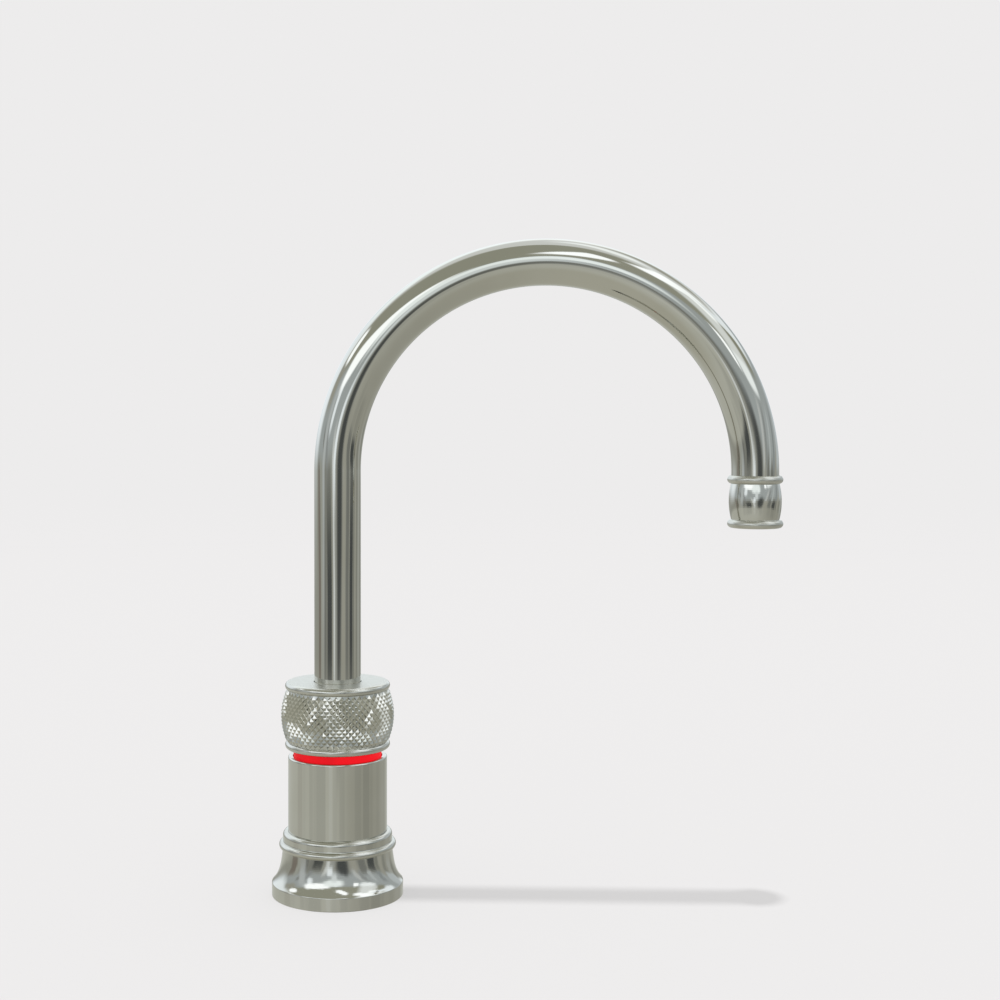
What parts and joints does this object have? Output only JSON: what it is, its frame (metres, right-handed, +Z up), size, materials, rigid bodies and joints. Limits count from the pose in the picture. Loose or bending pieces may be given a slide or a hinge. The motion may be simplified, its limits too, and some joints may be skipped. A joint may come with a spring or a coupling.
{
  "type": "boiling water tap",
  "caption": "Deck-mounted boiling water tap: swivelling swan-neck spout over a knurled push-and-turn ring handle, red light ring, plain barrel and bell-shaped foot.",
  "frame": {"origin": "centre of the foot's underside, where the tap stands on the worktop above its fixing hole", "axes": "+Z up along the barrel, +X towards the outlet of the spout at rest, +Y to the left of the spout as seen from the tap"},
  "size_m": [0.2401, 0.062, 0.4011],
  "materials": {
    "polished_nickel": "polished, warm nickel tone",
    "knurled_nickel": "diamond knurled, polished facets",
    "red_lens": "translucent, lit from behind",
    "brass": "machined",
    "steel": "plain",
    "copper": "drawn copper pipe",
    "ceramic": "lapped",
    "black_rubber": "moulded",
    "white_plastic": "acetal",
    "grey_plastic": "moulded",
    "board": "circuit board"
  },
  "bodies": {
    "fixed_body": {"foot": "polished_nickel", "foot_seal": "black_rubber", "barrel": "polished_nickel", "light_ring": "red_lens", "led_board": "board", "valve_housing": "brass", "disc_seal": "black_rubber", "fixed_disc": "ceramic", "valve_bonnet": "brass", "spout_holder": "brass", "spindle_seal": "black_rubber", "thrust_washer": "white_plastic", "lower_bush": "white_plastic", "upper_bush": "white_plastic", "stop_ring": "steel", "threaded_shank": "brass", "rubber_washer": "black_rubber", "steel_washer": "steel", "lock_nut": "brass", "hose_guide": "grey_plastic", "inlet_connector": "brass", "cable_gland": "black_rubber", "riser_pipe": "copper", "return_spring": "steel"},
    "spout": {"spout_tube": "polished_nickel", "water_tube": "steel", "spout_end": "brass", "spout_seal_lower": "black_rubber", "spout_seal_upper": "black_rubber", "snap_ring": "steel", "leg_spacer": "white_plastic", "outlet_spacer": "white_plastic", "outlet_collar": "polished_nickel", "outlet_nozzle": "grey_plastic", "nozzle_seal": "black_rubber"},
    "guide": {"push_sleeve": "brass"},
    "handle": {"handle_grip": "knurled_nickel", "drive_sleeve": "grey_plastic"},
    "valve": {"valve_spindle": "brass", "moving_disc": "ceramic"}
  },
  "joints": [
    {"name": "spout_swivel", "type": "hinge", "parent": "fixed_body", "child": "spout", "pos_m": [0, 0, 0.09], "axis": [0, 0, 1], "continuous": true},
    {"name": "handle_push", "type": "slide", "parent": "fixed_body", "child": "guide", "axis": [0, 0, -1], "range_m": [0, 0.003], "stiffness_N_per_m": 2000, "springref_m": -0.004, "deforming": ["return_spring"]},
    {"name": "handle_turn", "type": "hinge", "parent": "guide", "child": "handle", "pos_m": [0, 0, 0.085], "axis": [0, 0, 1], "range_deg": [0, 90]},
    {"name": "valve_turn", "type": "hinge", "parent": "fixed_body", "child": "valve", "pos_m": [0, 0, 0.06], "axis": [0, 0, 1], "range_deg": [0, 90]}
  ],
  "couplings": [
    {"joint": "valve_turn", "follows": "handle_turn", "ratio": 1}
  ]
}
